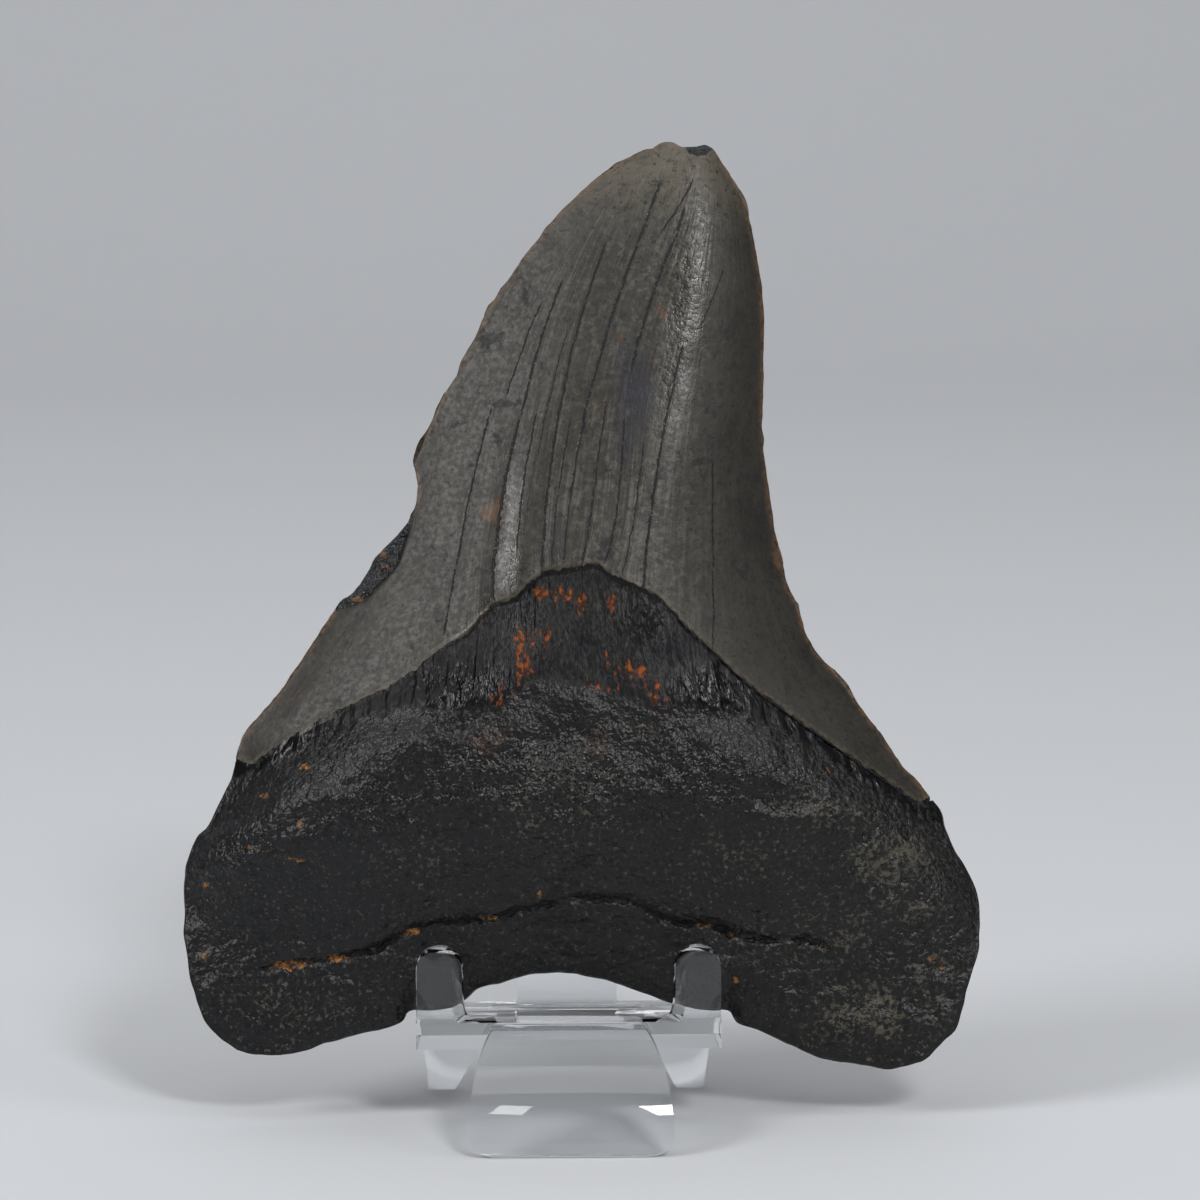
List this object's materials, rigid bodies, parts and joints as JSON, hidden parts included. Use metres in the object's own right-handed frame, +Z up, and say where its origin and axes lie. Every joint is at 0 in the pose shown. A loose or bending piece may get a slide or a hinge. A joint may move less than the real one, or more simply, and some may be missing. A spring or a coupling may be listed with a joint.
{
  "type": "megalodon tooth on a clear stand",
  "caption": "Large fossil shark tooth, chipped at the tip, leaning back on a small clear plastic easel.",
  "frame": {"origin": "middle of the whole object's footprint, on the surface that it stands on", "axes": "+Z up, -Y the way the tooth's lingual face and the stand's fingers look, +X to the right as seen from the front"},
  "size_m": [0.1016, 0.047, 0.1225],
  "materials": {
    "fossil": "olive-grey glossy enamel over a near-black granular root",
    "clear_plastic": "clear moulded plastic, polished"
  },
  "bodies": {
    "root": {"tooth": "fossil", "display_stand": "clear_plastic"}
  },
  "joints": []
}
